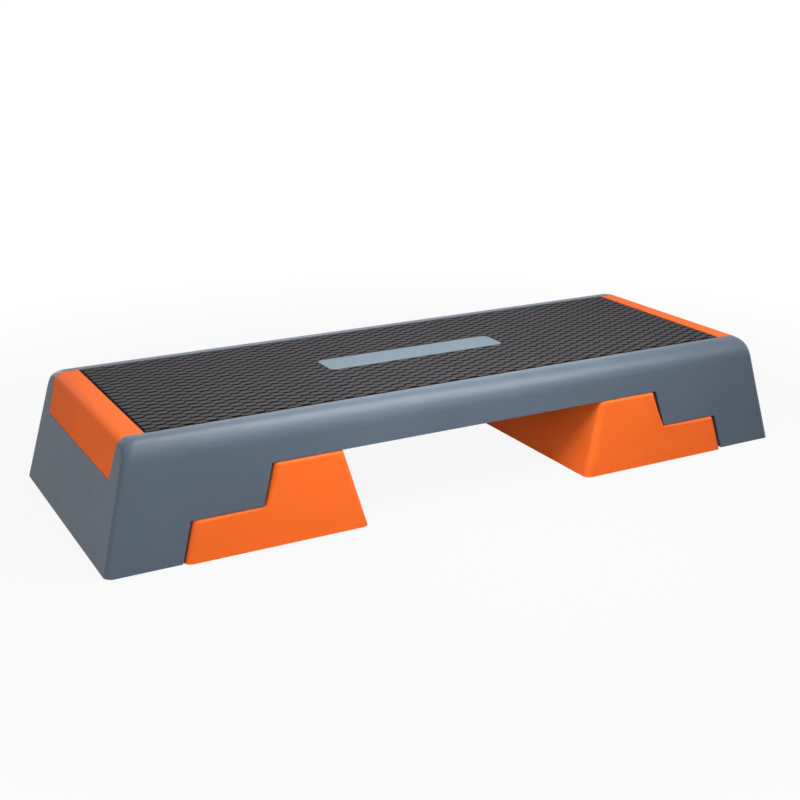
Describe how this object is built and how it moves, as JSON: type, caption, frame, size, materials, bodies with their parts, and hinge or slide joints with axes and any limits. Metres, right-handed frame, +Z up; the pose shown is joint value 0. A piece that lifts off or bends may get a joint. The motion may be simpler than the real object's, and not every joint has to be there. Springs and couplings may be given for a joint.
{
  "type": "aerobic step platform",
  "caption": "Long low step platform with a rubber tread mat, orange end caps and two stair-shaped risers that nest under its legs to set the step's height.",
  "frame": {"origin": "on the floor under the middle of the deck, with both risers nested and all feet on the floor", "axes": "+X along the deck from the left end to the right end, +Y from front to back, +Z up"},
  "size_m": [0.98, 0.3742, 0.151],
  "materials": {
    "deck_plastic": "fine leather grain, satin",
    "mat_rubber": "raised hexagonal cells, matt",
    "badge_finish": "smooth satin",
    "cap_plastic": "smooth satin",
    "riser_plastic": "smooth satin",
    "foot_rubber": "matt",
    "screw_steel": "zinc plated"
  },
  "bodies": {
    "deck": {"deck_shell": "deck_plastic", "top_mat": "mat_rubber", "badge_plate": "badge_finish", "end_cap_left": "cap_plastic", "end_cap_right": "cap_plastic", "deck_foot_left_front": "foot_rubber", "deck_foot_left_rear": "foot_rubber", "deck_foot_right_front": "foot_rubber", "deck_foot_right_rear": "foot_rubber", "cap_screws": "screw_steel", "deck_foot_screws": "screw_steel"},
    "riser_left": {"riser_left": "riser_plastic", "riser_left_foot_outer_front": "foot_rubber", "riser_left_foot_outer_rear": "foot_rubber", "riser_left_foot_inner_front": "foot_rubber", "riser_left_foot_inner_rear": "foot_rubber", "riser_left_foot_screws": "screw_steel"},
    "riser_right": {"riser_right": "riser_plastic", "riser_right_foot_outer_front": "foot_rubber", "riser_right_foot_outer_rear": "foot_rubber", "riser_right_foot_inner_front": "foot_rubber", "riser_right_foot_inner_rear": "foot_rubber", "riser_right_foot_screws": "screw_steel"}
  },
  "joints": [
    {"name": "riser_left_lift_off", "type": "slide", "parent": "riser_left", "child": "deck", "axis": [0, 0, 1], "range_m": [0, 0.11]},
    {"name": "riser_right_lift_off", "type": "slide", "parent": "deck", "child": "riser_right", "axis": [0, 0, -1], "range_m": [0, 0.11]}
  ]
}
